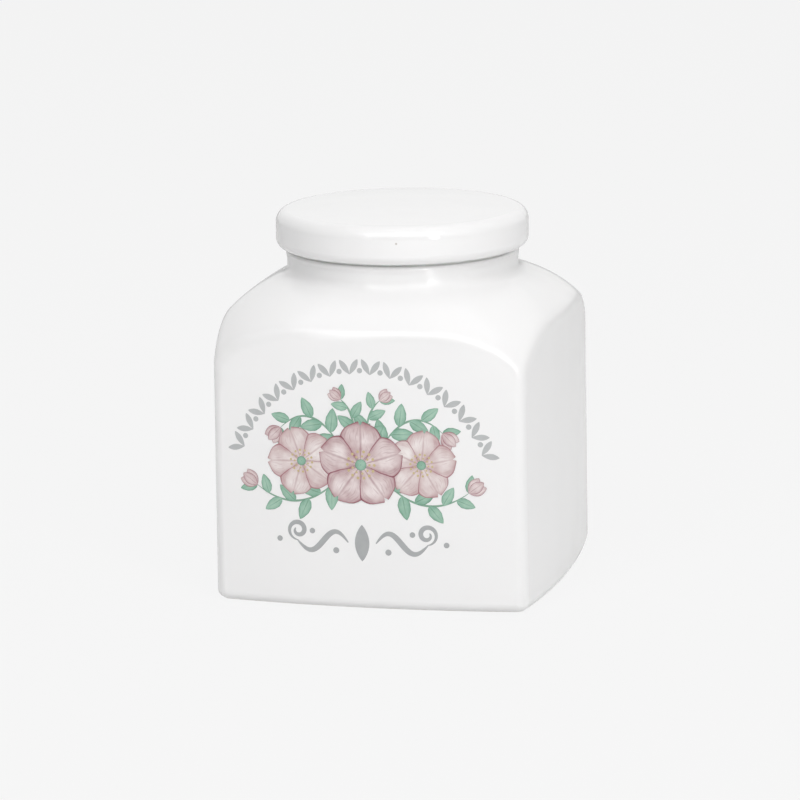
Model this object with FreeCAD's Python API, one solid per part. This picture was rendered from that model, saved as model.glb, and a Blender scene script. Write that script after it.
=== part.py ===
import FreeCAD, Part
import math
import os

# A lidded square porcelain jar for keeping garlic. Millimetres, +Z up.
# The origin is on the surface that the jar stands on, in the middle of its foot.

# Jar body
body_width = 120.0
side_bulge = 4.2
wall_lean = 0.3
corner_radius = 4.0
foot_edge_radius = 3.5
crease_radius = 4.0
wall = 4.0
floor_thickness = 5.0
inner_corner_radius = 6.0
inner_floor_radius = 6.0
inner_crease_radius = 3.0

# Foot ring under the body
foot_ring_width = 5.0
foot_ring_height = 1.6

# Domed shoulder, from under the neck to past the walls: the arc of its rise in degrees of
# lean from level, and how square it is at each end
shoulder_height = 110.5
shoulder_lean_at_neck = 20.0
shoulder_lean_at_skirt = 67.8365
shoulder_sections = 5
shoulder_under_neck = 7.3
shoulder_past_walls = 7.0
shoulder_flat_at_neck = 1.0
shoulder_flat_at_skirt = 29.0
shoulder_bulge_at_neck = 2.4
shoulder_bulge_at_skirt = 4.6

# Round neck
neck_radius = 41.3
neck_wall = 3.3
neck_height = 8.1
lip_flare = 0.5
lip_flare_height = 3.5
neck_root_fillet = 2.4
lip_outer_round = 1.1
lip_inner_ease = 0.8

# Lid
lid_overhang = 3.3
lid_thickness = 13.2
lid_crown = 2.2
lid_top_edge_radius = 4.5
lid_bottom_edge_radius = 3.4
lid_top_wall = 5.0
spigot_depth = 9.0
spigot_wall = 4.2
retaining_bead = 0.6
bead_height = 1.6
lid_hollow_fillet = 4.0

# Seal ring
seal_flange = 0.8
seal_flange_inset = 1.5
seal_sleeve_wall = 1.1
seal_lip_count = 2
seal_lip_thickness = 0.9
seal_lip_droop = 0.9
seal_lip_pitch = 2.8
first_lip_drop = 1.6

# Clearances
spigot_to_bore = 2.8
seal_to_spigot = 0.08
seal_to_bore = 0.3
seal_to_bead = 0.1

# How closely an edge must lie to the place that is asked for, and the shortest edge drawn
edge_match = 0.01
shortest_edge = 0.001

# Sizes that follow
lip_height = shoulder_height + neck_height
lip_radius = neck_radius + lip_flare
bore_radius = neck_radius - neck_wall
spigot_radius = bore_radius - spigot_to_bore
lid_radius = lip_radius + lid_overhang
shoulder_inner_reach = neck_radius - shoulder_under_neck
shoulder_outer_reach = body_width / 2 + shoulder_past_walls
shoulder_corner_at_neck = shoulder_inner_reach - shoulder_flat_at_neck
shoulder_corner_at_skirt = shoulder_outer_reach - shoulder_flat_at_skirt
origin = FreeCAD.Vector(0, 0, 0)
up = FreeCAD.Vector(0, 0, 1)


def turned(x, y, quarter, z):
    """Point (x, y) turned about Z by a number of quarter turns, at height z."""
    angle = math.radians(90 * quarter)
    return FreeCAD.Vector(
        x * math.cos(angle) - y * math.sin(angle),
        x * math.sin(angle) + y * math.cos(angle),
        z,
    )


def bowed_square(half, corner, bulge, z):
    """Closed wire at height z: four bowed sides, joined by tangent corner arcs."""
    side_radius = ((half - bulge) ** 2 + bulge ** 2) / (2 * bulge)
    side_centre = half - side_radius
    reach = side_radius - corner
    corner_centre = (side_centre + math.sqrt(2 * reach ** 2 - side_centre ** 2)) / 2
    scale = side_radius / reach
    joint_x = side_centre + (corner_centre - side_centre) * scale
    joint_y = corner_centre * scale
    corner_mid = corner_centre + corner * math.cos(math.radians(45))
    edges = []
    for quarter in range(4):
        side = Part.Arc(
            turned(joint_x, -joint_y, quarter, z),
            turned(half, 0, quarter, z),
            turned(joint_x, joint_y, quarter, z),
        )
        bend = Part.Arc(
            turned(joint_x, joint_y, quarter, z),
            turned(corner_mid, corner_mid, quarter, z),
            turned(joint_y, joint_x, quarter, z),
        )
        edges += [side.toShape(), bend.toShape()]
    return Part.Wire(edges)


def shoulder_rise(half):
    """Height of the shoulder over the middle of a side, at distance half from the axis."""
    lean = math.radians(shoulder_lean_at_neck)
    spread = math.sin(math.radians(shoulder_lean_at_skirt)) - math.sin(lean)
    arc_radius = (shoulder_outer_reach - neck_radius) / spread
    centre_out = neck_radius - arc_radius * math.sin(lean)
    centre_up = shoulder_height - arc_radius * math.cos(lean)
    return centre_up + math.sqrt(arc_radius ** 2 - (half - centre_out) ** 2)


def shoulder_solid(inset):
    """The domed shoulder, round near the neck and squarer further out, moved in by inset."""
    wires = []
    for step in range(shoulder_sections):
        share = step / (shoulder_sections - 1)
        half = shoulder_inner_reach + share * (shoulder_outer_reach - shoulder_inner_reach)
        corner = shoulder_corner_at_neck + share * (shoulder_corner_at_skirt - shoulder_corner_at_neck)
        bulge = shoulder_bulge_at_neck + share * (shoulder_bulge_at_skirt - shoulder_bulge_at_neck)
        wires.append(bowed_square(half, corner, bulge, shoulder_rise(half) - inset))
    dome = Part.makeLoft(wires, True, False)
    skirt = Part.Face(wires[-1]).extrude(up * -shoulder_rise(shoulder_outer_reach))
    return dome.fuse(skirt).removeSplitter()


def walls_solid(inset, corner, base_height):
    """The four bowed, leaning walls as a closed block, moved in by inset."""
    half = body_width / 2
    side_radius = ((half - side_bulge) ** 2 + side_bulge ** 2) / (2 * side_bulge)
    rise = lip_height - base_height
    lean = math.tan(math.radians(wall_lean))
    foot_radius = side_radius - inset - base_height * lean
    head_radius = foot_radius - rise * lean
    block = None
    for quarter in range(4):
        centre = turned(half - side_radius, 0, quarter, base_height)
        side = Part.makeCone(foot_radius, head_radius, rise, centre)
        side.rotate(centre, up, 180 + 90 * quarter)
        block = side if block is None else block.common(side)
    return block.makeFillet(corner, [e for e in block.Edges if upright(e)])


def upright(edge):
    """True for an edge that runs up a wall."""
    box = edge.BoundBox
    return box.ZMax - box.ZMin > max(box.XMax - box.XMin, box.YMax - box.YMin)


def level(edge, height):
    """True where both ends of an edge lie at the given height."""
    return all(abs(v.Point.z - height) < edge_match for v in edge.Vertexes)


def crease_edges(block, half, base_height):
    """Edges where the shoulder meets the walls of a block that is half as wide as given."""
    found = []
    for edge in block.Edges:
        middle = edge.CenterOfMass
        on_wall = math.hypot(middle.x, middle.y) > half - side_bulge / 2
        if on_wall and not level(edge, base_height) and not upright(edge):
            found.append(edge)
    return found


def body_block(inset, corner, crease, base_height, base_round):
    """Walls capped by the shoulder, with its crease and its base edge rounded."""
    block = walls_solid(inset, corner, base_height).common(shoulder_solid(inset))
    block = block.makeFillet(crease, crease_edges(block, body_width / 2 - inset, base_height))
    base = [edge for edge in block.Edges if level(edge, base_height)]
    return block.makeFillet(base_round, base)


def revolved(profile):
    """Solid turned about Z from a list of edges in the XZ plane."""
    return Part.Face(Part.Wire(profile)).revolve(origin, up, 360)


def rounded_outline(corners):
    """Closed XZ outline through (r, z, round) corners, each rounded by its own radius."""
    edges = []
    count = len(corners)
    starts, ends, middles = [], [], []
    for index in range(count):
        before, here, after = (
            FreeCAD.Vector(corners[(index + shift) % count][0], 0, corners[(index + shift) % count][1])
            for shift in (-1, 0, 1)
        )
        radius = corners[index][2]
        inward, outward = (before - here).normalize(), (after - here).normalize()
        half_angle = inward.getAngle(outward) / 2
        trim = radius / math.tan(half_angle)
        bisector = (inward + outward).normalize()
        centre = here + bisector * (radius / math.sin(half_angle))
        starts.append(here + inward * trim)
        ends.append(here + outward * trim)
        middles.append(centre - bisector * radius)
    for index in range(count):
        if corners[index][2] > 0:
            edges.append(Part.Arc(starts[index], middles[index], ends[index]).toShape())
        following = starts[(index + 1) % count]
        if (following - ends[index]).Length > shortest_edge:
            edges.append(Part.LineSegment(ends[index], following).toShape())
    return edges


def turned_solid(corners):
    """Solid of revolution of a rounded outline."""
    return revolved(rounded_outline(corners))


def neck_solid():
    """The round neck with its slightly flared lip; its foot is buried in the shoulder."""
    buried = shoulder_rise(neck_radius) - wall
    return turned_solid([
        (0, buried, 0),
        (neck_radius, buried, 0),
        (neck_radius, lip_height - lip_flare_height, 0),
        (lip_radius, lip_height, lip_outer_round),
        (0, lip_height, 0),
    ])


def bore_solid():
    """The round way in through the neck, eased at the lip."""
    below = floor_thickness + inner_floor_radius
    above = lip_height + wall
    return turned_solid([
        (0, below, 0),
        (bore_radius, below, 0),
        (bore_radius, lip_height - lip_inner_ease, 0),
        (bore_radius + lip_inner_ease, lip_height, 0),
        (bore_radius + lip_inner_ease, above, 0),
        (0, above, 0),
    ])


def foot_recess():
    """The glazed hollow inside the foot ring."""
    half = body_width / 2 - foot_edge_radius - foot_ring_width
    outline = bowed_square(half, corner_radius, side_bulge, 0)
    return Part.Face(outline).extrude(up * foot_ring_height)


def neck_root_edges(shape):
    """Edges of the ring where the neck meets the shoulder."""
    found = []
    for edge in shape.Edges:
        box = edge.BoundBox
        on_neck = all(abs(math.hypot(v.X, v.Y) - neck_radius) < edge_match for v in edge.Vertexes)
        if on_neck and box.ZMax < lip_height - lip_flare_height and not upright(edge):
            found.append(edge)
    return found


def jar():
    """One porcelain body: walls, domed shoulder, neck, inner cavity and foot ring."""
    outer = body_block(0.0, corner_radius, crease_radius, 0.0, foot_edge_radius)
    outer = outer.fuse(neck_solid()).removeSplitter()
    outer = outer.makeFillet(neck_root_fillet, neck_root_edges(outer))
    cavity = body_block(wall, inner_corner_radius, inner_crease_radius, floor_thickness, inner_floor_radius)
    cavity = cavity.fuse(bore_solid())
    return outer.cut(cavity).cut(foot_recess())


def lid_blank():
    """The lid without spigot or hollow: a crowned top that rolls over into a full rim."""
    underside = lip_height + seal_flange
    top = underside + lid_thickness
    crown_radius = (lid_radius ** 2 + lid_crown ** 2) / (2 * lid_crown)
    crown_centre = FreeCAD.Vector(0, 0, top + lid_crown - crown_radius)
    roll_out = lid_radius - lid_top_edge_radius
    roll_reach = crown_radius - lid_top_edge_radius
    roll_up = crown_centre.z + math.sqrt(roll_reach ** 2 - roll_out ** 2)
    roll_centre = FreeCAD.Vector(roll_out, 0, roll_up)
    outward = (roll_centre - crown_centre).normalize()
    crown_end = roll_centre + outward * lid_top_edge_radius
    roll_middle = roll_centre + (outward + FreeCAD.Vector(1, 0, 0)).normalize() * lid_top_edge_radius
    crown_middle = crown_centre + (outward + up).normalize() * crown_radius
    roll_end = roll_centre + FreeCAD.Vector(lid_top_edge_radius, 0, 0)
    rim_foot = FreeCAD.Vector(lid_radius, 0, underside + lid_bottom_edge_radius)
    under_out = FreeCAD.Vector(lid_radius - lid_bottom_edge_radius, 0, underside)
    under_centre = FreeCAD.Vector(under_out.x, 0, rim_foot.z)
    under_middle = under_centre + FreeCAD.Vector(1, 0, -1).normalize() * lid_bottom_edge_radius
    apex = FreeCAD.Vector(0, 0, top + lid_crown)
    axis_foot = FreeCAD.Vector(0, 0, underside)
    return revolved([
        Part.Arc(apex, crown_middle, crown_end).toShape(),
        Part.Arc(crown_end, roll_middle, roll_end).toShape(),
        Part.LineSegment(roll_end, rim_foot).toShape(),
        Part.Arc(rim_foot, under_middle, under_out).toShape(),
        Part.LineSegment(under_out, axis_foot).toShape(),
        Part.LineSegment(axis_foot, apex).toShape(),
    ])


def lid():
    """Thick round lid with a hollow spigot whose bead holds the seal ring."""
    underside = lip_height + seal_flange
    tip = underside - spigot_depth
    bead_radius = spigot_radius + retaining_bead
    inner = spigot_radius - spigot_wall
    roof = underside + lid_thickness + lid_crown - lid_top_wall
    spigot = turned_solid([
        (0, tip, 0),
        (spigot_radius, tip, 0),
        (bead_radius, tip + retaining_bead, 0),
        (bead_radius, tip + bead_height - retaining_bead, 0),
        (spigot_radius, tip + bead_height, 0),
        (spigot_radius, underside + wall, 0),
        (0, underside + wall, 0),
    ])
    hollow = turned_solid([
        (0, tip - wall, 0),
        (inner, tip - wall, 0),
        (inner, roof, lid_hollow_fillet),
        (0, roof, 0),
    ])
    return lid_blank().fuse(spigot).cut(hollow)


def seal_ring():
    """Silicone ring on the spigot: a flat flange under the lid and drooping lips round a sleeve."""
    seat = lip_height
    inner = spigot_radius + seal_to_spigot
    sleeve = inner + seal_sleeve_wall
    flange = lip_radius - seal_flange_inset
    bottom = seat + seal_flange - spigot_depth + bead_height + seal_to_bead
    lip_tip = bore_radius - seal_to_bore
    outline = [(inner, bottom), (sleeve, bottom)]
    for index in reversed(range(seal_lip_count)):
        root = seat - first_lip_drop - index * seal_lip_pitch
        outline += [
            (sleeve, root - seal_lip_thickness),
            (lip_tip, root - seal_lip_thickness - seal_lip_droop),
            (lip_tip, root - seal_lip_droop),
            (sleeve, root),
        ]
    outline += [(sleeve, seat), (flange, seat), (flange, seat + seal_flange), (inner, seat + seal_flange)]
    return turned_solid([(r, z, 0) for r, z in outline])


def export(node, shape):
    """Write one node's solids."""
    if not shape.isValid():
        raise RuntimeError(node + " is not a valid solid")
    print(node, len(shape.Solids), round(shape.Volume, 1))
    shape.exportStep("parts/" + node + ".step")


os.makedirs("parts", exist_ok=True)
export("jar", jar())
export("seal_ring", seal_ring())
export("lid", lid())
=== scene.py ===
"""Looks of a square porcelain jar for keeping garlic, with its lid and seal ring.

Everything is in metres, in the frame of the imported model: +Z up, the printed front
side towards -Y, and the origin on the surface that the jar stands on.
"""

import logging
import math
from dataclasses import dataclass, field, replace
from enum import Enum
from typing import Callable, Optional, Sequence, Union

import bpy
from bpy.types import ID, Material, Mesh, Node, NodeSocket, NodeTree, Object
from mathutils import Matrix, Vector


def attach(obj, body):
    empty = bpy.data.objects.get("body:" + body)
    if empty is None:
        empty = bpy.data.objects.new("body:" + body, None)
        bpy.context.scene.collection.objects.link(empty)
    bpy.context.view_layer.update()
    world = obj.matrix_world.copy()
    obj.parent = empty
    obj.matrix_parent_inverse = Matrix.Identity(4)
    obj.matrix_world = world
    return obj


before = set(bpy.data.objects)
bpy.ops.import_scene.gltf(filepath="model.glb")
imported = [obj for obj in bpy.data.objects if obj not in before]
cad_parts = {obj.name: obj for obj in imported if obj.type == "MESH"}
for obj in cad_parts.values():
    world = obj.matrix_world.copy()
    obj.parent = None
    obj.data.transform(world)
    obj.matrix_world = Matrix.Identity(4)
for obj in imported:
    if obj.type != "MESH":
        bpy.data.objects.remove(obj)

log = logging.getLogger("garlic_jar")

Colour = tuple[float, float, float]
Point = tuple[float, float]
Place = tuple[float, float, float]
Span = tuple[float, float]
Path = Callable[[float], Point]
Operand = Union["Sock", float]

MM = 0.001
WHITE = (1.0, 1.0, 1.0, 1.0)
GLAZE_INDEX = 1.52


def mm(x: float, y: float) -> Point:
    """A point given in millimetres."""
    return (x * MM, y * MM)


def add_object(name: str, data: ID) -> Object:
    """Adds an object to the scene.

    Args:
        name: its name.
        data: its mesh, light or camera.

    Returns:
        The object.
    """
    made = bpy.data.objects.new(name, data)
    bpy.context.scene.collection.objects.link(made)
    return made


class Sock:
    """A node socket whose arithmetic adds Math nodes, so shader maths reads as maths."""

    def __init__(self, tree: NodeTree, socket: NodeSocket) -> None:
        """Wraps one output socket of a tree."""
        self.tree = tree
        self.socket = socket

    def _math(self, operation: str, *operands: Operand) -> "Sock":
        """Adds one Math node.

        Args:
            operation: the Math node's operation.
            operands: sockets or numbers, in order.

        Returns:
            The node's result.
        """
        node = self.tree.nodes.new("ShaderNodeMath")
        node.operation = operation
        for slot, operand in zip(node.inputs, operands):
            if isinstance(operand, Sock):
                self.tree.links.new(operand.socket, slot)
            else:
                slot.default_value = float(operand)
        return Sock(self.tree, node.outputs[0])

    def __add__(self, other: Operand) -> "Sock":
        """Sum."""
        return self._math("ADD", self, other)

    __radd__ = __add__

    def __sub__(self, other: Operand) -> "Sock":
        """Difference."""
        return self._math("SUBTRACT", self, other)

    def __rsub__(self, other: float) -> "Sock":
        """A number less this socket."""
        return self._math("SUBTRACT", other, self)

    def __mul__(self, other: Operand) -> "Sock":
        """Product."""
        return self._math("MULTIPLY", self, other)

    def __truediv__(self, other: float) -> "Sock":
        """Quotient."""
        return self._math("DIVIDE", self, other)

    def __pow__(self, other: float) -> "Sock":
        """Power."""
        return self._math("POWER", self, other)

    def __abs__(self) -> "Sock":
        """Size without its sign."""
        return self._math("ABSOLUTE", self)

    def clamped(self) -> "Sock":
        """The value held between 0 and 1."""
        return self._math("MINIMUM", self._math("MAXIMUM", self, 0.0), 1.0)

    def towards(self, axis: Sequence[float]) -> "Sock":
        """How far this direction points along an axis, from 0 at right angles to it."""
        node = self.tree.nodes.new("ShaderNodeVectorMath")
        node.operation = "DOT_PRODUCT"
        self.tree.links.new(self.socket, node.inputs[0])
        node.inputs[1].default_value = axis
        share = Sock(self.tree, node.outputs["Value"])
        return share._math("MAXIMUM", share, 0.0)

    def rises(self, low: float, high: float) -> "Sock":
        """A straight ramp, 0 at low and 1 at high, clamped."""
        return ((self - low) / (high - low)).clamped()


class Wiring:
    """A node tree under construction."""

    def __init__(self, tree: NodeTree) -> None:
        """Takes a tree and empties it."""
        self.tree = tree
        tree.nodes.clear()

    def node(
        self,
        kind: str,
        settings: Optional[dict] = None,
        inputs: Optional[dict] = None,
    ) -> Node:
        """Adds any node.

        Args:
            kind: the node's type.
            settings: attributes set before its sockets.
            inputs: socket name or index to a value, a Sock or an output socket.

        Returns:
            The new node.
        """
        made = self.tree.nodes.new(kind)
        for key, value in (settings or {}).items():
            setattr(made, key, value)
        for key, value in (inputs or {}).items():
            self.feed(made.inputs[key], value)
        return made

    def feed(
        self,
        slot: NodeSocket,
        value: Union[Sock, NodeSocket, float, Sequence[float]],
    ) -> None:
        """Sets or links one input.

        Args:
            slot: the input socket.
            value: what it gets.
        """
        if isinstance(value, Sock):
            value = value.socket
        if isinstance(value, NodeSocket):
            self.tree.links.new(value, slot)
        else:
            slot.default_value = value

    def sock(self, node: Node, output: Union[str, int] = 0) -> Sock:
        """Wraps one of a node's outputs for arithmetic."""
        return Sock(self.tree, node.outputs[output])


class Shader(Wiring):
    """One material under construction: a Principled surface and whatever feeds it."""

    def __init__(self, name: str) -> None:
        """Starts an empty node material with an output and a Principled shader.

        Args:
            name: the material's name.
        """
        self.material = bpy.data.materials.new(name)
        self.material.use_nodes = True
        super().__init__(self.material.node_tree)
        self.output = self.node("ShaderNodeOutputMaterial")
        self.surface = self.node("ShaderNodeBsdfPrincipled")
        self.feed(self.output.inputs[0], self.surface.outputs[0])

    def object_point(self) -> NodeSocket:
        """Object coordinates, in metres."""
        return self.node("ShaderNodeTexCoord").outputs["Object"]

    def axes(self, vector: NodeSocket) -> tuple[Sock, Sock, Sock]:
        """Splits a vector into its three axes."""
        split = self.node("ShaderNodeSeparateXYZ", inputs={0: vector})
        return self.sock(split, 0), self.sock(split, 1), self.sock(split, 2)

    def noise(self, point: NodeSocket, waves: float, detail: float = 2.0) -> Sock:
        """Smooth noise around 0.5.

        Args:
            point: the coordinates it varies over.
            waves: how many fit in one unit of the coordinates.
            detail: how many finer layers it adds.

        Returns:
            The noise value.
        """
        inputs = {"Vector": point, "Scale": waves, "Detail": detail}
        return self.sock(self.node("ShaderNodeTexNoise", inputs=inputs))

    def blend(
        self, share: Sock, first: Union[Colour, NodeSocket], second: Union[Colour, NodeSocket]
    ) -> NodeSocket:
        """Mixes two colours.

        Args:
            share: how much of the second.
            first: colour at 0.
            second: colour at 1.

        Returns:
            The mixed colour's socket.
        """
        mix = self.node("ShaderNodeMix", {"data_type": "RGBA"})
        self.feed(mix.inputs["Factor"], share)
        for key, colour in (("A", first), ("B", second)):
            slot = next(s for s in mix.inputs if s.name == key and s.type == "RGBA")
            self.feed(slot, (*colour, 1.0) if isinstance(colour, tuple) else colour)
        return next(s for s in mix.outputs if s.type == "RGBA")

    def bump(self, height: Sock, depth: float, softness: Operand = 0.0) -> None:
        """Gives the surface relief, over edges that look rounded by a radius.

        Args:
            height: relief from 0 to 1.
            depth: what 1 stands for, in metres.
            softness: the radius, in metres.
        """
        rounded = self.node("ShaderNodeBevel", {"samples": 12}, {"Radius": softness})
        relief = {"Strength": 1.0, "Distance": depth, "Height": height}
        made = self.node("ShaderNodeBump", inputs={**relief, "Normal": rounded.outputs[0]})
        self.feed(self.surface.inputs["Normal"], made.outputs[0])

    def set(self, **constants: float) -> None:
        """Sets constants on the surface; underscores stand for spaces in socket names."""
        for key, value in constants.items():
            self.surface.inputs[key.replace("_", " ")].default_value = value


@dataclass(frozen=True)
class PorcelainGlaze:
    """White porcelain under a clear gloss glaze, bare below a given height.

    The glaze is never quite even: it ripples a little, pools greyer in hollows, and
    holds a few tiny specks. Waves and cells are counted per metre, and a span is where
    something begins and where it is whole.
    """

    body: Colour = (0.862, 0.857, 0.856)
    pooled: Colour = (0.81, 0.813, 0.82)
    pool_waves: float = 16.0
    pool_start: float = 0.35
    pool_strength: float = 0.5
    gloss: float = 0.07
    dull: float = 0.16
    smudge_waves: float = 55.0
    smudge_strength: float = 0.5
    ripple_waves: float = 38.0
    ripple_depth: float = 0.12 * MM
    speck: Colour = (0.30, 0.24, 0.18)
    speck_cells: float = 115.0
    speck_rim: Span = (0.012, 0.026)
    speck_rarity: Span = (0.985, 0.99)
    speck_strength: float = 0.6
    pinholes: tuple[Place, ...] = ()
    pinhole_rim: Span = (0.1 * MM, 0.5 * MM)
    pinhole_strength: float = 0.7
    bare_below: float = -1.0
    bare_fade: float = 0.15 * MM
    bare_wander: float = 0.6 * MM
    wander_waves: float = 180.0
    bisque: Colour = (0.74, 0.715, 0.67)
    bisque_roughness: float = 0.72
    grain_waves: float = 2600.0
    grain_strength: float = 0.25
    softness: float = 6.0 * MM
    soft_from: float = 0.0
    soft_to: float = 0.0
    soft_growth: float = 4.0 * MM
    soft_decline: float = 1.0 * MM

    def material(self, name: str) -> Material:
        """Builds the glaze.

        Args:
            name: the material's name.

        Returns:
            The material.
        """
        shader = Shader(name)
        point = shader.object_point()
        _, _, height = shader.axes(point)
        pools = shader.noise(point, self.pool_waves, 3.0) - self.pool_start
        colour = shader.blend(pools * self.pool_strength, self.body, self.pooled)
        colour = self.specked(shader, point, colour)
        smudge = shader.noise(point, self.smudge_waves, 4.0)
        roughness = smudge * (self.dull - self.gloss) * self.smudge_strength + self.gloss
        relief = shader.noise(point, self.ripple_waves, 1.0)
        if self.bare_below > 0:
            wander = (shader.noise(point, self.wander_waves) - 0.5) * self.bare_wander
            glazed_from = self.bare_below + self.bare_fade
            bare = 1.0 - (height + wander).rises(self.bare_below, glazed_from)
            grain = shader.noise(point, self.grain_waves, 3.0)
            colour = shader.blend(bare, colour, self.bisque)
            roughness = roughness * (1.0 - bare) + bare * self.bisque_roughness
            relief = relief * (1.0 - bare) + grain * bare * self.grain_strength
        shader.feed(shader.surface.inputs["Base Color"], colour)
        shader.feed(shader.surface.inputs["Roughness"], roughness)
        shader.bump(relief, self.ripple_depth, self.soft_zone(height) * self.softness)
        shader.set(IOR=GLAZE_INDEX)
        return shader.material

    def specked(self, shader: Shader, point: NodeSocket, colour: NodeSocket) -> NodeSocket:
        """Adds the scattered specks and the pinholes.

        Args:
            shader: the material under construction.
            point: object coordinates.
            colour: the colour without them.

        Returns:
            The colour with them.
        """
        spread = {"Vector": point, "Scale": self.speck_cells}
        cells = shader.node("ShaderNodeTexVoronoi", {"feature": "F1"}, spread)
        lots = shader.node("ShaderNodeSeparateColor", inputs={0: cells.outputs["Color"]})
        near = 1.0 - shader.sock(cells).rises(*self.speck_rim)
        specks = near * shader.sock(lots).rises(*self.speck_rarity) * self.speck_strength
        colour = shader.blend(specks, colour, self.speck)
        for spot in self.pinholes:
            away = shader.node(
                "ShaderNodeVectorMath", {"operation": "DISTANCE"}, {0: point, 1: spot}
            )
            hole = 1.0 - shader.sock(away, "Value").rises(*self.pinhole_rim)
            colour = shader.blend(hole * self.pinhole_strength, colour, self.speck)
        return colour

    def soft_zone(self, height: Sock) -> Sock:
        """How much of the softness holds at a height, from 0 to 1."""
        grown = height.rises(self.soft_from, self.soft_from + self.soft_growth)
        gone = height.rises(self.soft_to - self.soft_decline, self.soft_to)
        return grown * (1.0 - gone)


@dataclass(frozen=True)
class MilkySilicone:
    """Translucent white silicone with a satin moulded skin and a little dust."""

    rubber: Colour = (0.70, 0.70, 0.675)
    dusty: Colour = (0.79, 0.785, 0.77)
    dust_waves: float = 900.0
    dust_rim: Span = (0.55, 0.75)
    dust_strength: float = 0.6
    cloud_waves: float = 60.0
    cloud_strength: float = 0.2
    roughness: float = 0.42
    dust_roughness: float = 0.25
    skin_waves: float = 3200.0
    skin_depth: float = 0.02 * MM
    index: float = 1.41
    translucence: float = 0.15
    light_reach: float = 2.0 * MM

    def material(self, name: str) -> Material:
        """Builds the silicone.

        Args:
            name: the material's name.

        Returns:
            The material.
        """
        shader = Shader(name)
        point = shader.object_point()
        dust = shader.noise(point, self.dust_waves, 4.0).rises(*self.dust_rim)
        cloud = shader.noise(point, self.cloud_waves)
        share = dust * self.dust_strength + cloud * self.cloud_strength
        colour = shader.blend(share, self.rubber, self.dusty)
        roughness = dust * self.dust_roughness + self.roughness
        shader.feed(shader.surface.inputs["Base Color"], colour)
        shader.feed(shader.surface.inputs["Roughness"], roughness)
        shader.bump(shader.noise(point, self.skin_waves), self.skin_depth)
        shader.set(Subsurface_Weight=self.translucence, Subsurface_Scale=self.light_reach)
        shader.set(IOR=self.index)
        return shader.material


class Ink(Enum):
    """The colours of the printed decoration: pale wash, full wash and fine line."""

    ROSE = ((0.82, 0.74, 0.73), (0.34, 0.15, 0.17), (0.24, 0.06, 0.09))
    BLUSH = ((0.84, 0.79, 0.77), (0.44, 0.25, 0.26), (0.32, 0.11, 0.14))
    LEAF = ((0.38, 0.57, 0.46), (0.13, 0.31, 0.21), (0.07, 0.20, 0.13))
    STEM = ((0.26, 0.42, 0.32), (0.18, 0.33, 0.24), (0.08, 0.22, 0.15))
    GREY = ((0.42, 0.43, 0.435), (0.36, 0.37, 0.375), (0.30, 0.31, 0.315))
    SILVER = ((0.50, 0.51, 0.515), (0.42, 0.43, 0.435), (0.36, 0.37, 0.375))
    STAMEN = ((0.62, 0.52, 0.30), (0.50, 0.38, 0.18), (0.36, 0.24, 0.12))


# Strength of edge line and veins in the inks that fill petals and leaves.
LINED = {Ink.ROSE: (0.75, 0.55), Ink.BLUSH: (0.6, 0.45), Ink.LEAF: (0.5, 0.6)}


@dataclass(frozen=True)
class PrintedWash:
    """Watercolour-like ceramic ink, fired under the same gloss as the glaze round it.

    A blade's own map runs from -1 to 1 across (x) and from 0 to 1 along (y).
    """

    ink: Ink
    edge_line: float = 0.0
    veins: float = 0.0
    flat: bool = False
    roughness: float = 0.09
    mottle_waves: float = 420.0
    wash_waves: float = 210.0
    wash_wander: float = 1.1
    rim_wash: float = 0.55
    root_wash: float = 0.45
    tip_wash: float = 0.6
    vein_stretch: Point = (5.5, 0.9)
    vein_waves: float = 2.4
    vein_rim: Span = (0.56, 0.66)
    midrib_rim: Span = (0.02, 0.09)
    midrib_strength: float = 1.2
    line_fading: float = 0.7
    edge_rim: Span = (0.90, 0.97)

    def material(self) -> Material:
        """Builds the ink.

        Returns:
            The material.
        """
        shader = Shader("print_" + self.ink.name.lower())
        pale, full, _ = self.ink.value
        point = shader.object_point()
        if self.flat:
            colour = shader.blend(shader.noise(point, self.mottle_waves, 3.0), pale, full)
        else:
            colour = self.washed(shader, point)
        shader.feed(shader.surface.inputs["Base Color"], colour)
        shader.set(Roughness=self.roughness, IOR=GLAZE_INDEX)
        return shader.material

    def washed(self, shader: Shader, point: NodeSocket) -> NodeSocket:
        """The wash of a petal or leaf, with its veins, midrib and edge line.

        Args:
            shader: the material under construction.
            point: object coordinates.

        Returns:
            The colour's socket.
        """
        pale, full, line = self.ink.value
        blade = shader.node("ShaderNodeUVMap", {"uv_map": "blade"})
        across, along, _ = shader.axes(blade.outputs[0])
        wander = shader.noise(point, self.wash_waves, 3.0) - 0.5
        rim = abs(across) ** 3.0 * self.rim_wash
        root = (1.0 - along) * self.root_wash
        tip = along ** 6.0 * self.tip_wash
        depth = (rim + root + tip + wander * self.wash_wander).clamped()
        colour = shader.blend(depth, pale, full)
        wide, long = self.vein_stretch
        streaks = shader.node(
            "ShaderNodeCombineXYZ", inputs={0: across * wide, 1: along * long, 2: 0.0}
        )
        vein = shader.noise(streaks.outputs[0], self.vein_waves, 1.5).rises(*self.vein_rim)
        midrib = 1.0 - abs(across).rises(*self.midrib_rim)
        lines = vein * self.veins + midrib * self.veins * self.midrib_strength
        edge = abs(across).rises(*self.edge_rim) * self.edge_line
        drawn = (lines * (1.0 - along * self.line_fading) + edge).clamped()
        return shader.blend(drawn, colour, line)


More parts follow.
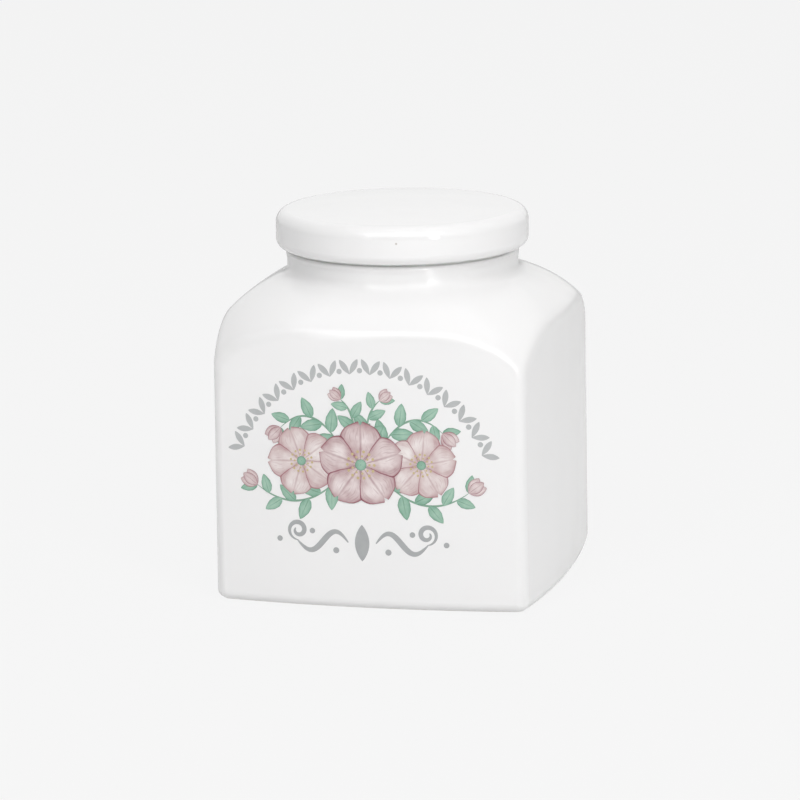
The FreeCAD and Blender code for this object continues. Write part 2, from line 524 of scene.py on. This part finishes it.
@dataclass
class FrontSide:
    """The bowed, slightly leaning front side, as a surface that print can lie on."""

    half_width: float = 60.0 * MM
    bow: float = 4.2 * MM
    lean: float = math.radians(0.3)

    def depth(self, across: float, height: float) -> float:
        """How far the side is from the jar's middle plane.

        Args:
            across: distance along X.
            height: distance up.

        Returns:
            The distance towards -Y.
        """
        chord = self.half_width - self.bow
        foot_radius = (chord ** 2 + self.bow ** 2) / (2 * self.bow)
        radius = foot_radius - height * math.tan(self.lean)
        return self.half_width - foot_radius + math.sqrt(radius ** 2 - across ** 2)

    def wrap(self, mesh: Mesh, lift: float) -> None:
        """Moves a flat drawing, with X across and Y up, on to the side.

        Args:
            mesh: the drawing; its own Z is ignored.
            lift: how far it stands off the side.
        """
        for vertex in mesh.vertices:
            across, height = vertex.co.x, vertex.co.y
            vertex.co = Vector((across, -self.depth(across, height) - lift, height))


@dataclass
class Blade:
    """A petal or leaf lying flat, from its root at the origin along +Y.

    Its notch is a share of its length, and its waviness and its least and tip widths
    are shares of its half width, which is reached at the belly's share of its length.
    """

    name: str
    length: float
    half_width: float
    belly: float
    notch: float = 0.0
    waviness: float = 0.0
    rows: int = 14
    columns: int = 8
    fullness: float = 0.75
    waves: float = 23.0
    least: float = 0.03
    notched_tip: float = 0.12
    notch_power: int = 5

    def width(self, row: int) -> float:
        """Half of the width at one row.

        Args:
            row: the row's number, from the root.

        Returns:
            The half width.
        """
        along = row / self.rows
        width = 0.0
        if 0 < row < self.rows:
            power = math.log(0.5) / math.log(self.belly)
            width = self.half_width * math.sin(math.pi * along ** power) ** self.fullness
        elif row > 0 and self.notch > 0:
            width = self.half_width * self.notched_tip
        width *= 1.0 + self.waviness * math.sin(along * self.waves)
        return max(width, self.half_width * self.least)

    def mesh(self) -> Mesh:
        """Draws it.

        Returns:
            The mesh, with a map named blade.
        """
        points, maps = [], []
        for row in range(self.rows + 1):
            along = row / self.rows
            width = self.width(row)
            for column in range(self.columns + 1):
                across = 2.0 * column / self.columns - 1.0
                dip = self.notch * (1.0 - abs(across)) * along ** self.notch_power
                points.append((across * width, (along - dip) * self.length, 0.0))
                maps.append((across, along))
        stride = self.columns + 1
        faces = []
        for row in range(self.rows):
            for column in range(self.columns):
                corner = row * stride + column
                faces.append((corner, corner + 1, corner + stride + 1, corner + stride))
        mesh = bpy.data.meshes.new(self.name)
        mesh.from_pydata(points, [], faces)
        layer = mesh.uv_layers.new(name="blade")
        for loop in mesh.loops:
            layer.data[loop.index].uv = maps[loop.vertex_index]
        return mesh


def disc_mesh(name: str, radius: float, sides: int = 20) -> Mesh:
    """A flat round dot, with a map named blade.

    Args:
        name: the mesh's name.
        radius: its radius.
        sides: how many edges its outline has.

    Returns:
        The mesh.
    """
    angles = [side * math.tau / sides for side in range(sides)]
    rim = [(radius * math.cos(angle), radius * math.sin(angle), 0.0) for angle in angles]
    faces = [(0, side + 1, (side + 1) % sides + 1) for side in range(sides)]
    mesh = bpy.data.meshes.new(name)
    mesh.from_pydata([(0.0, 0.0, 0.0), *rim], [], faces)
    mesh.uv_layers.new(name="blade")
    return mesh


class Scatter(Wiring):
    """A Geometry Nodes tree that repeats one drawn shape along a path."""

    def __init__(self, name: str, material: Material) -> None:
        """Starts the tree.

        Args:
            name: the tree's name.
            material: what the repeated shapes are printed in.
        """
        super().__init__(bpy.data.node_groups.new(name, "GeometryNodeTree"))
        self.material = material
        self.identifiers: dict[str, str] = {}
        self.tree.interface.new_socket(
            "Geometry", in_out="OUTPUT", socket_type="NodeSocketGeometry"
        )
        self.group_in = self.node("NodeGroupInput")
        self.group_out = self.node("NodeGroupOutput")
        self.add_inputs("NodeSocketObject", "Shape")
        self.add_inputs("NodeSocketInt", "Count")

    def add_inputs(self, kind: str, *names: str) -> None:
        """Adds named inputs.

        Args:
            kind: their socket type.
            names: their names.
        """
        for name in names:
            item = self.tree.interface.new_socket(name, in_out="INPUT", socket_type=kind)
            self.identifiers[name] = item.identifier

    def feed(self, slot: NodeSocket, value: object) -> None:
        """Sets or links one input.

        Args:
            slot: the input socket.
            value: what it gets; text stands for the tree's own input of that name.
        """
        if isinstance(value, str):
            value = self.group_in.outputs[value]
        super().feed(slot, value)

    def math(self, operation: str, first: object, second: object = 0.0) -> NodeSocket:
        """One Math node.

        Args:
            operation: its operation.
            first: first operand.
            second: second operand.

        Returns:
            Its result.
        """
        made = self.node("ShaderNodeMath", {"operation": operation}, {0: first, 1: second})
        return made.outputs[0]

    def finish(
        self, points: NodeSocket, rotation: NodeSocket, scale: object = (1.0, 1.0, 1.0)
    ) -> None:
        """Sets the shape on the points, as real geometry in its ink.

        Args:
            points: where the shapes go.
            rotation: how each is turned.
            scale: how large each is.
        """
        shape = self.node("GeometryNodeObjectInfo", inputs={"Object": "Shape"})
        placed = {"Points": points, "Instance": shape.outputs["Geometry"]}
        instances = self.node(
            "GeometryNodeInstanceOnPoints",
            inputs={**placed, "Rotation": rotation, "Scale": scale},
        )
        real = self.node("GeometryNodeRealizeInstances", inputs={0: instances.outputs[0]})
        inked = self.node(
            "GeometryNodeSetMaterial",
            inputs={"Geometry": real.outputs[0], "Material": self.material},
        )
        self.feed(self.group_out.inputs[0], inked.outputs[0])

    def bake(self, name: str, values: dict[str, object]) -> Mesh:
        """Runs the tree and returns a plain mesh.

        Args:
            name: the mesh's name.
            values: the tree's inputs.

        Returns:
            The mesh.
        """
        holder = add_object(name + "_holder", bpy.data.meshes.new(name + "_holder"))
        modifier = holder.modifiers.new("scatter", "NODES")
        modifier.node_group = self.tree
        for key, value in values.items():
            modifier[self.identifiers[key]] = value
        graph = bpy.context.evaluated_depsgraph_get()
        mesh = bpy.data.meshes.new_from_object(holder.evaluated_get(graph), depsgraph=graph)
        mesh.name = name
        holder.modifiers.remove(modifier)
        bpy.data.objects.remove(holder)
        return mesh


def stem_leaves(material: Material) -> Scatter:
    """A tree of leaves set alternately along a curved stem, smaller towards its end.

    Args:
        material: the leaves' ink.

    Returns:
        The tree.
    """
    scatter = Scatter("stem_leaves", material)
    scatter.add_inputs("NodeSocketVector", "Start", "Middle", "End")
    scatter.add_inputs("NodeSocketFloat", "Spread", "First size", "Last size")
    curve = scatter.node(
        "GeometryNodeCurveQuadraticBezier",
        inputs={"Resolution": 32, "Start": "Start", "Middle": "Middle", "End": "End"},
    )
    points = scatter.node(
        "GeometryNodeResampleCurve", inputs={"Curve": curve.outputs[0], "Count": "Count"}
    )
    tangent = scatter.node("GeometryNodeInputTangent")
    facing = scatter.node(
        "FunctionNodeAlignRotationToVector",
        {"axis": "Y", "pivot_axis": "Z"},
        {"Vector": tangent.outputs[0]},
    )
    index = scatter.node("GeometryNodeInputIndex")
    odd = scatter.math("MODULO", index.outputs[0], 2.0)
    side = scatter.math("SUBTRACT", scatter.math("MULTIPLY", odd, 2.0), 1.0)
    swing = scatter.math("MULTIPLY", side, "Spread")
    turn = scatter.node("ShaderNodeCombineXYZ", inputs={2: swing})
    rotation = scatter.node(
        "FunctionNodeRotateRotation",
        {"rotation_space": "LOCAL"},
        {0: facing.outputs[0], 1: turn.outputs[0]},
    )
    share = scatter.node("GeometryNodeSplineParameter").outputs["Factor"]
    size = scatter.node(
        "ShaderNodeMapRange",
        inputs={"Value": share, "To Min": "First size", "To Max": "Last size"},
    )
    scatter.finish(points.outputs[0], rotation.outputs[0], size.outputs[0])
    return scatter


def ring_of(material: Material) -> Scatter:
    """A tree of shapes on an arc, each turned to point away from its centre.

    Args:
        material: the shapes' ink.

    Returns:
        The tree.
    """
    scatter = Scatter("ring_of", material)
    scatter.add_inputs("NodeSocketVector", "Centre")
    scatter.add_inputs("NodeSocketFloat", "Radius", "First angle", "Step angle", "Tilt")
    line = scatter.node("GeometryNodeMeshLine", inputs={"Count": "Count"})
    index = scatter.node("GeometryNodeInputIndex")
    turned = scatter.math("MULTIPLY", index.outputs[0], "Step angle")
    angle = scatter.math("ADD", turned, "First angle")
    x = scatter.math("MULTIPLY", scatter.math("COSINE", angle), "Radius")
    y = scatter.math("MULTIPLY", scatter.math("SINE", angle), "Radius")
    spot = scatter.node("ShaderNodeCombineXYZ", inputs={0: x, 1: y})
    place = scatter.node(
        "ShaderNodeVectorMath", {"operation": "ADD"}, {0: spot.outputs[0], 1: "Centre"}
    )
    placed = scatter.node(
        "GeometryNodeSetPosition",
        inputs={"Geometry": line.outputs[0], "Position": place.outputs[0]},
    )
    outward = scatter.math("SUBTRACT", angle, math.pi / 2)
    tilted = scatter.math("ADD", outward, "Tilt")
    rotation = scatter.node("ShaderNodeCombineXYZ", inputs={2: tilted})
    scatter.finish(placed.outputs[0], rotation.outputs[0])
    return scatter


@dataclass
class Blossom:
    """One five-petalled flower seen from the front, sized by shares of its radius.

    Each ring of stamens has a name, a count, a radius and the radius of its dots.
    """

    centre: Point
    radius: float
    turn: float = 0.0
    level: int = 18
    petals: int = 5
    petal_half_width: float = 0.47
    heart: float = 0.13
    rings: tuple[tuple[str, int, float, float], ...] = (
        ("stamens", 14, 0.31, 0.034),
        ("inner_stamens", 9, 0.20, 0.028),
    )


@dataclass
class Sprig:
    """A curved stem with leaves set along it and a bud at its end."""

    start: Point
    middle: Point
    end: Point
    leaves: int
    first_size: float
    last_size: float
    bud: float
    stem_width: float = 0.75 * MM
    leaf_spread: float = 0.82
    bud_swing: float = 0.34
    bud_half_width: float = 0.30
    bud_level: int = 14

    def at(self, share: float) -> Vector:
        """The stem's point at a share of its length."""
        a, b, c = (Vector((*p, 0.0)) for p in (self.start, self.middle, self.end))
        return a * (1 - share) ** 2 + b * 2 * share * (1 - share) + c * share ** 2

    def flat(self, share: float) -> Point:
        """The same point as a pair."""
        return tuple(self.at(share).xy)

    def end_heading(self) -> float:
        """The stem's angle at its end."""
        step = self.at(1.0) - self.at(0.99)
        return math.atan2(step.y, step.x)

    def mirrored(self) -> "Sprig":
        """The same sprig on the other side of the middle."""
        start, middle, end = ((-x, y) for x, y in (self.start, self.middle, self.end))
        return replace(self, start=start, middle=middle, end=end)


@dataclass(frozen=True)
class Scroll:
    """The course of the scroll's lines and dots on one side of the middle.

    Its sign is 1 on the right and -1 on the left. Each dot has a place across, a place
    above the scroll's height, and a radius.
    """

    sign: int = 1
    height: float = 24.0 * MM
    inner: float = 5.0 * MM
    outer: float = 23.5 * MM
    wave_rise: float = 3.9 * MM
    wave_fading: float = 0.2
    wave_width: float = 2.1 * MM
    curl_radius: float = 3.7 * MM
    curl_turns: float = 1.35
    curl_closing: float = 0.72
    curl_overlap: float = 0.3 * MM
    curl_width: float = 1.7 * MM
    lozenge_length: float = 13.0 * MM
    lozenge_half_width: float = 2.6 * MM
    dots: tuple[Place, ...] = (
        (9.4 * MM, -3.0 * MM, 1.1 * MM),
        (18.0 * MM, 3.6 * MM, 1.0 * MM),
        (30.0 * MM, 0.2 * MM, 1.0 * MM),
    )

    def wave(self, share: float) -> Point:
        """A long wave from the lozenge outwards."""
        x = self.inner + share * (self.outer - self.inner)
        y = self.wave_rise * math.sin(share * math.tau) * (1 - self.wave_fading * share)
        return (self.sign * x, self.height + y)

    def curl(self, share: float) -> Point:
        """A tight curl at the wave's outer end."""
        angle = share * self.curl_turns * math.tau
        radius = self.curl_radius * (1 - self.curl_closing * share)
        x = self.outer + radius * math.sin(angle) - self.curl_overlap
        y = self.height + self.curl_radius - radius * math.cos(angle)
        return (self.sign * x, y)


@dataclass
class FrontPrint:
    """The printed decoration: an arch of small leaves, a flowering garland and a scroll."""

    side: FrontSide = field(default_factory=FrontSide)
    body: str = "jar"
    slot: str = "jar_glaze"
    shift: float = -1.5 * MM
    layer: float = 0.006 * MM
    stroke_steps: int = 48
    stroke_end: float = 0.18
    stroke_fullness: float = 0.8
    arch_radius: float = 46.6 * MM
    arch_centre: float = 37.5 * MM
    arch_half_angle: float = math.radians(66)
    arch_units: int = 16
    arch_leaf: Point = mm(1.05, 6.2)
    arch_tilt: float = 0.56
    arch_dot: float = 0.95 * MM
    arch_dot_rise: float = 1.3 * MM
    inks: dict = field(default_factory=dict)

    def ink(self, ink: Ink) -> Material:
        """The material of one ink, made once."""
        if ink not in self.inks:
            edge, veins = LINED.get(ink, (0.0, 0.0))
            self.inks[ink] = PrintedWash(ink, edge, veins, flat=ink not in LINED).material()
        return self.inks[ink]

    def lay(self, name: str, mesh: Mesh, ink: Ink, level: int) -> None:
        """Prints one drawing on the side.

        Args:
            name: the piece's name.
            mesh: the flat drawing.
            ink: what it is printed in.
            level: how many layers lie under it.
        """
        for vertex in mesh.vertices:
            vertex.co.x += self.shift
        self.side.wrap(mesh, self.layer * (level + 1))
        mesh.materials.clear()
        mesh.materials.append(self.ink(ink))
        piece = add_object(name, mesh)
        for polygon in mesh.polygons:
            polygon.use_smooth = True
            polygon.material_index = 0
        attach(piece, self.body)
        log.info("printed %s: %d faces", name, len(mesh.polygons))

    def repeat(
        self, name: str, scatter: Scatter, shape: Mesh, values: dict, ink: Ink, level: int
    ) -> None:
        """Bakes a tree and prints the result.

        Args:
            name: the piece's name.
            scatter: the tree.
            shape: what it repeats.
            values: the tree's other inputs.
            ink: what it is printed in.
            level: how many layers lie under it.
        """
        holder = add_object(shape.name + "_shape", shape)
        mesh = scatter.bake(name, {"Shape": holder, **values})
        bpy.data.objects.remove(holder)
        self.lay(name, mesh, ink, level)

    def arch(self) -> None:
        """The grey arch: pairs of small leaves that open outwards, with dots between."""
        ring = ring_of(self.ink(Ink.SILVER))
        step = 2 * self.arch_half_angle / (self.arch_units - 1)
        first = math.pi / 2 - self.arch_half_angle
        leaves = {
            "Count": self.arch_units,
            "Centre": (0.0, self.arch_centre, 0.0),
            "Radius": self.arch_radius,
            "First angle": first,
            "Step angle": step,
        }
        half_width, length = self.arch_leaf
        for word, sign in (("left", 1), ("right", -1)):
            leaf = Blade("arch_leaf", length, half_width, 0.55, rows=12, columns=4).mesh()
            values = {**leaves, "Tilt": sign * self.arch_tilt}
            self.repeat("arch_leaves_" + word, ring, leaf, values, Ink.SILVER, 0)
        dots = {
            **leaves,
            "Count": self.arch_units - 1,
            "Radius": self.arch_radius + self.arch_dot_rise,
            "First angle": first + step / 2,
            "Tilt": 0.0,
        }
        dot = disc_mesh("arch_dot", self.arch_dot)
        self.repeat("arch_dots", ring, dot, dots, Ink.SILVER, 0)

    def stroke(self, name: str, path: Path, widest: float, ink: Ink, level: int) -> None:
        """A drawn line that swells and thins like a pen stroke.

        Args:
            name: the piece's name.
            path: point at each share of the line.
            widest: its greatest width.
            ink: what it is printed in.
            level: how many layers lie under it.
        """
        step = 0.002
        points = []
        for index in range(self.stroke_steps + 1):
            share = index / self.stroke_steps
            here = Vector(path(share))
            ahead = Vector(path(min(share + step, 1.0))) - Vector(path(max(share - step, 0.0)))
            normal = Vector((-ahead.y, ahead.x)).normalized()
            swelling = math.sin(math.pi * share) ** self.stroke_fullness
            half = widest / 2 * (self.stroke_end + (1 - self.stroke_end) * swelling)
            points += [(*(here - normal * half), 0.0), (*(here + normal * half), 0.0)]
        firsts = range(0, 2 * self.stroke_steps, 2)
        faces = [(first, first + 2, first + 3, first + 1) for first in firsts]
        mesh = bpy.data.meshes.new(name)
        mesh.from_pydata(points, [], faces)
        mesh.uv_layers.new(name="blade")
        self.lay(name, mesh, ink, level)

    def scroll(self) -> None:
        """The grey scroll under the garland: two waves that curl, dots and a lozenge."""
        for sign, word in ((-1, "left"), (1, "right")):
            half = Scroll(sign)
            self.stroke("scroll_wave_" + word, half.wave, half.wave_width, Ink.GREY, 0)
            self.stroke("scroll_curl_" + word, half.curl, half.curl_width, Ink.GREY, 1)
            for index, (x, y, radius) in enumerate(half.dots):
                dot = disc_mesh("scroll_dot", radius)
                dot.transform(Matrix.Translation((sign * x, half.height + y, 0.0)))
                self.lay("scroll_dot_%s_%d" % (word, index), dot, Ink.GREY, 1)
        length = half.lozenge_length
        lozenge = Blade(
            "scroll_lozenge", length, half.lozenge_half_width, 0.5, rows=16, columns=4
        ).mesh()
        lozenge.transform(Matrix.Translation((0.0, half.height - length / 2, 0.0)))
        self.lay("scroll_lozenge", lozenge, Ink.GREY, 1)

    def blossom(self, index: int, blossom: Blossom, ink: Ink) -> None:
        """One flower: overlapping petals, a heart and two rings of stamens.

        Args:
            index: its number.
            blossom: its place and size.
            ink: the petals' ink.
        """
        radius = blossom.radius
        centre = Matrix.Translation((*blossom.centre, 0.0))
        half_width = radius * blossom.petal_half_width
        wavy = {"notch": 0.10, "waviness": 0.025, "rows": 18, "columns": 12}
        for number in range(blossom.petals):
            petal = Blade("petal", radius, half_width, 0.66, **wavy).mesh()
            angle = blossom.turn + number * math.tau / blossom.petals
            petal.transform(centre @ Matrix.Rotation(angle, 4, "Z"))
            self.lay("petal_%d_%d" % (index, number), petal, ink, blossom.level + number)
        top = blossom.level + blossom.petals
        heart = disc_mesh("heart", radius * blossom.heart)
        heart.transform(centre)
        self.lay("heart_%d" % index, heart, Ink.LEAF, top)
        tree = ring_of(self.ink(Ink.STAMEN))
        for word, count, share, dot_share in blossom.rings:
            values = {
                "Count": count,
                "Centre": (*blossom.centre, 0.0),
                "Radius": radius * share,
                "First angle": blossom.turn,
                "Step angle": math.tau / count,
                "Tilt": 0.0,
            }
            dot = disc_mesh("stamen", radius * dot_share, sides=10)
            self.repeat("%s_%d" % (word, index), tree, dot, values, Ink.STAMEN, top + 1)

    def sprig(self, index: int, sprig: Sprig) -> None:
        """One leafy stem with its bud.

        Args:
            index: its number.
            sprig: its course and leaves.
        """
        level = 2 * index + 1
        self.stroke("stem_%d" % index, sprig.flat, sprig.stem_width, Ink.STEM, level)
        values = {
            "Count": sprig.leaves,
            "Start": (*sprig.start, 0.0),
            "Middle": (*sprig.middle, 0.0),
            "End": (*sprig.end, 0.0),
            "Spread": sprig.leaf_spread,
            "First size": sprig.first_size,
            "Last size": sprig.last_size,
        }
        leaf = Blade("leaf", 1.0, 0.26, 0.42, waviness=0.03, rows=16).mesh()
        tree = stem_leaves(self.ink(Ink.LEAF))
        self.repeat("leaves_%d" % index, tree, leaf, values, Ink.LEAF, level + 1)
        half_width = sprig.bud * sprig.bud_half_width
        upright = sprig.end_heading() - math.pi / 2
        for number, swing in enumerate((sprig.bud_swing, -sprig.bud_swing, 0.0)):
            petal = Blade("bud", sprig.bud, half_width, 0.5).mesh()
            turn = Matrix.Rotation(upright + swing, 4, "Z")
            petal.transform(Matrix.Translation(sprig.at(1.0)) @ turn)
            name = "bud_%d_%d" % (index, number)
            self.lay(name, petal, Ink.ROSE, sprig.bud_level + number)

    def build(self) -> None:
        """Prints everything, lowest layer first."""
        self.arch()
        self.scroll()
        sizes = (8, 9.5 * MM, 6.5 * MM, 6.5 * MM)
        small = (5, 8.0 * MM, 5.5 * MM, 5.0 * MM)
        upper = Sprig(mm(6, 56), mm(17, 76), mm(29, 64), *sizes)
        lower = Sprig(mm(7, 48), mm(22, 31), mm(38, 43), *sizes)
        crown = Sprig(mm(2, 61), mm(2, 71), mm(7, 75), *small)
        pairs = [(sprig, sprig.mirrored()) for sprig in (upper, lower, crown)]
        for index, sprig in enumerate(sprig for pair in pairs for sprig in pair):
            self.sprig(index, sprig)
        self.blossom(0, Blossom(mm(-21.5, 52.5), 12.5 * MM, 0.35), Ink.BLUSH)
        self.blossom(1, Blossom(mm(21.5, 52.5), 12.5 * MM, -0.1), Ink.BLUSH)
        self.blossom(2, Blossom(mm(0.0, 52.0), 15.5 * MM, level=26), Ink.ROSE)


@dataclass
class Piece:
    """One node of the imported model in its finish."""

    node: str
    material: str
    finish: Union[PorcelainGlaze, MilkySilicone]

    def dress(self) -> None:
        """Puts the finish on the node."""
        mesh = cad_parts[self.node].data
        mesh.materials.clear()
        mesh.materials.append(self.finish.material(self.material))
        log.info("dressed %s in %s", self.node, self.material)


# The foot ring is bare, and the jar's edges look softer from below the shoulder's creases
# to the neck. The glaze of the lid's rim has one pinhole.
JAR_GLAZE = PorcelainGlaze(bare_below=0.5 * MM, soft_from=74.0 * MM, soft_to=117.5 * MM)
LID_GLAZE = PorcelainGlaze(pinholes=((8.5 * MM, -44.3 * MM, 127.5 * MM),))
PIECES = (
    Piece("jar", "jar_glaze", JAR_GLAZE),
    Piece("lid", "lid_glaze", LID_GLAZE),
    Piece("seal_ring", "seal_silicone", MilkySilicone()),
)


@dataclass
class Softbox:
    """One studio lamp with a rectangular front."""

    name: str
    place: Place
    size: Point
    watts: float
    aim: Place = (0.0, 0.0, 0.07)

    def light(self) -> None:
        """Adds the lamp to the scene."""
        data = bpy.data.lights.new(self.name, "AREA")
        data.shape = "RECTANGLE"
        data.size, data.size_y = self.size
        data.energy = self.watts
        lamp = add_object(self.name, data)
        lamp.location = self.place
        towards = Vector(self.aim) - Vector(self.place)
        lamp.rotation_euler = towards.to_track_quat("-Z", "Y").to_euler()


@dataclass
class Studio:
    """Pale floor, soft light and the camera at the photograph's viewing angle.

    Angles are in radians. The four lights are how bright the surroundings are straight
    to the left, behind, above and below.
    """

    azimuth: float = 0.2395
    elevation: float = 0.2068
    distance: float = 1.601
    aim_height: float = 0.070
    pan: float = -0.0011
    tilt: float = -0.0046
    roll: float = -0.0151
    focal_pixels: float = 4454.6
    picture_width: float = 800.0
    sensor: float = 36.0
    farthest: float = 100.0
    paper: float = 0.923
    floor_white: float = 0.86
    floor_roughness: float = 0.9
    floor_size: float = 24.0
    floor_gap: float = 0.02 * MM
    foot_room: float = 2.0 * MM
    foot_fade: float = 1.0 * MM
    shadow_share: float = 0.06
    left_light: float = 0.265
    back_light: float = 0.854
    top_light: float = 0.30
    light_from_below: float = 0.7

    def camera(self) -> None:
        """Adds the camera."""
        out = Vector((
            math.sin(self.azimuth) * math.cos(self.elevation),
            -math.cos(self.azimuth) * math.cos(self.elevation),
            math.sin(self.elevation),
        ))
        place = Vector((0.0, 0.0, self.aim_height)) + out * self.distance
        right = Vector((math.cos(self.azimuth), math.sin(self.azimuth), 0.0))
        forward = (-out + self.pan * right + self.tilt * right.cross(-out)).normalized()
        level = forward.cross(Vector((0.0, 0.0, 1.0))).normalized()
        above = level.cross(forward)
        across = math.cos(self.roll) * level + math.sin(self.roll) * above
        upward = -math.sin(self.roll) * level + math.cos(self.roll) * above
        data = bpy.data.cameras.new("camera")
        data.sensor_width = self.sensor
        data.lens = self.focal_pixels / self.picture_width * self.sensor
        data.clip_end = self.farthest
        holder = add_object("camera", data)
        turn = Matrix((across, upward, -forward)).transposed().to_4x4()
        holder.matrix_world = Matrix.Translation(place) @ turn
        bpy.context.scene.camera = holder

    def paper_material(self) -> Material:
        """The floor's white, which keeps a soft shadow.

        From below it can be seen through, and light from below reaches the foot through it.

        Returns:
            The material.
        """
        shader = Shader("floor_paper")
        shader.set(Roughness=self.floor_roughness)
        white = (self.floor_white,) * 3 + (1.0,)
        shader.feed(shader.surface.inputs["Base Color"], white)
        glow = shader.node("ShaderNodeEmission", inputs={0: (self.paper,) * 3 + (1.0,), 1: 1.0})
        rays = shader.node("ShaderNodeLightPath")
        camera = shader.sock(rays, "Is Camera Ray")
        length = shader.sock(rays, "Ray Length")
        seen = shader.node(
            "ShaderNodeMixShader",
            inputs={
                0: camera * (1.0 - self.shadow_share),
                1: shader.surface.outputs[0],
                2: glow.outputs[0],
            },
        )
        below = shader.sock(shader.node("ShaderNodeNewGeometry"), "Backfacing")
        near = 1.0 - length.rises(self.foot_room, self.foot_room + self.foot_fade)
        through = (below + near * (1.0 - camera)).clamped()
        clear = shader.node("ShaderNodeBsdfTransparent")
        whole = shader.node(
            "ShaderNodeMixShader", inputs={0: through, 1: seen.outputs[0], 2: clear.outputs[0]}
        )
        shader.feed(shader.output.inputs[0], whole.outputs[0])
        return shader.material

    def floor(self) -> None:
        """Adds the floor, just under the foot."""
        half = self.floor_size / 2
        rim = [(-half, -half), (half, -half), (half, half), (-half, half)]
        mesh = bpy.data.meshes.new("floor")
        mesh.from_pydata([(x, y, -self.floor_gap) for x, y in rim], [], [(0, 1, 2, 3)])
        mesh.materials.append(self.paper_material())
        floor = add_object("floor", mesh)

    def sky(self) -> None:
        """Sets the graded light round the object and the white that is seen past it."""
        world = bpy.data.worlds.new("studio")
        world.use_nodes = True
        wires = Wiring(world.node_tree)
        where = wires.sock(wires.node("ShaderNodeTexCoord"), "Generated")
        walls = (
            where.towards((-1.0, 0.0, 0.0)) * self.left_light
            + where.towards((0.0, 1.0, 0.0)) * self.back_light
            + where.towards((0.0, 0.0, 1.0)) * self.top_light
            + where.towards((0.0, 0.0, -1.0)) * self.light_from_below
        )
        around = wires.node("ShaderNodeBackground", inputs={0: WHITE, 1: walls})
        seen = wires.node("ShaderNodeBackground", inputs={0: WHITE, 1: self.paper})
        camera = wires.sock(wires.node("ShaderNodeLightPath"), "Is Camera Ray")
        mix = wires.node(
            "ShaderNodeMixShader", inputs={0: camera, 1: around.outputs[0], 2: seen.outputs[0]}
        )
        wires.node("ShaderNodeOutputWorld", inputs={0: mix.outputs[0]})
        bpy.context.scene.world = world

    def lamps(self) -> tuple[Softbox, ...]:
        """The lamps: two strips, a panel on the right, one in front and one above."""
        return (
            Softbox("left_strip", (-0.48, -1.53, 0.75), (0.20, 1.3), 1.8),
            Softbox("right_strip", (1.25, -1.35, 0.75), (0.30, 1.3), 6.8),
            Softbox("right_panel", (1.6, -0.6, 0.9), (1.2, 1.4), 3.2),
            Softbox("front_panel", (0.3, -1.2, 1.5), (2.2, 1.0), 19.0),
            Softbox("overhead_panel", (0.1, -0.1, 1.6), (1.4, 1.4), 3.8),
        )

    def build(self) -> None:
        """Adds everything that isn't the object."""
        self.camera()
        self.floor()
        self.sky()
        for lamp in self.lamps():
            lamp.light()
        bpy.context.scene.view_settings.view_transform = "Standard"


def main() -> None:
    """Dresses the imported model, prints its front and sets up the studio."""
    logging.basicConfig(level=logging.INFO, format="%(name)s: %(message)s")
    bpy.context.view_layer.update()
    for piece in PIECES:
        piece.dress()
    FrontPrint().build()
    Studio().build()


if __name__ == "__main__":
    main()
